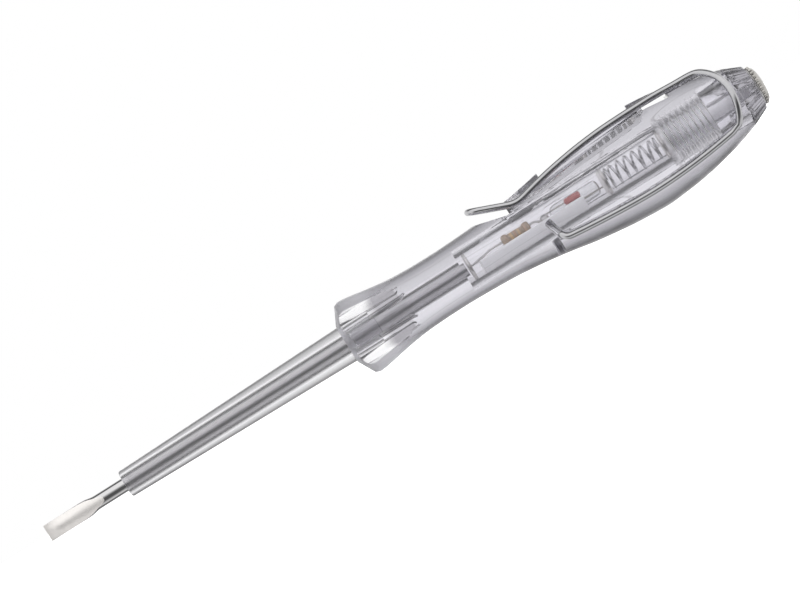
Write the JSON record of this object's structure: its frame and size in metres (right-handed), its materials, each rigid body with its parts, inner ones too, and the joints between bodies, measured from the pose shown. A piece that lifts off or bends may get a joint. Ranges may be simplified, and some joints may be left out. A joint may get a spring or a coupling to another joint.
{
  "type": "voltage tester screwdriver",
  "caption": "Slim flat-blade mains tester with a clear fluted handle, sleeved blade, glow lamp and resistor inside, wire pocket clip and screw cap with a touch contact.",
  "frame": {"origin": "middle of the blade's front edge", "axes": "+X back along the tool's axis to the touch contact, +Z out of the side with the pocket clip"},
  "size_m": [0.1432, 0.0184, 0.0183],
  "materials": {
    "steel": "matte ground tip, satin shank",
    "clear_sleeve": "clear, glossy",
    "clear_handle": "clear, glossy",
    "clear_cap": "clear, slightly smoky",
    "nickel": "nickel plated",
    "clip_wire": "drawn spring steel",
    "spring_steel": "drawn spring steel",
    "milky_plastic": "milky white",
    "resistor_coat": "tan lacquer with bands",
    "resistor_cap": "lacquered metal cap",
    "tinned_wire": "tinned copper",
    "lamp_glass": "clear glass",
    "electrode": "lit red by the glow discharge"
  },
  "bodies": {
    "handle": {"handle_body": "clear_handle", "blade": "steel", "blade_sleeve": "clear_sleeve", "clip_bow_near": "clip_wire", "clip_bow_far": "clip_wire", "tail_contact": "nickel", "component_carrier": "milky_plastic", "resistor_body": "resistor_coat", "resistor_cap_front": "resistor_cap", "resistor_cap_rear": "resistor_cap", "resistor_lead_front": "tinned_wire", "resistor_lead_rear": "tinned_wire", "solder_joint": "tinned_wire", "lamp_glass": "lamp_glass", "lamp_electrode_front": "electrode", "lamp_electrode_rear": "electrode", "spring_plate": "nickel", "contact_spring": "spring_steel"},
    "clip": {"clip_arm": "clip_wire"},
    "seat": {"spring_seat": "nickel"},
    "cap": {"end_cap": "clear_cap", "contact_button": "nickel", "contact_pin": "nickel"}
  },
  "joints": [
    {"name": "clip_flex", "type": "hinge", "parent": "handle", "child": "clip", "pos_m": [0.1336, 0, 0.00747], "axis": [0, 1, 0], "range_deg": [0, 6], "stiffness_Nm_per_rad": 0.8},
    {"name": "cap_slide", "type": "slide", "parent": "handle", "child": "seat", "axis": [1, 0, 0], "range_m": [0, 0.007], "deforming": ["contact_spring"]},
    {"name": "cap_turn", "type": "hinge", "parent": "seat", "child": "cap", "pos_m": [0.1384, 0, 0], "axis": [1, 0, 0], "range_deg": [0, 2520]}
  ],
  "couplings": [
    {"joint": "cap_turn", "follows": "cap_slide", "rad_per_m": 6283.2}
  ]
}
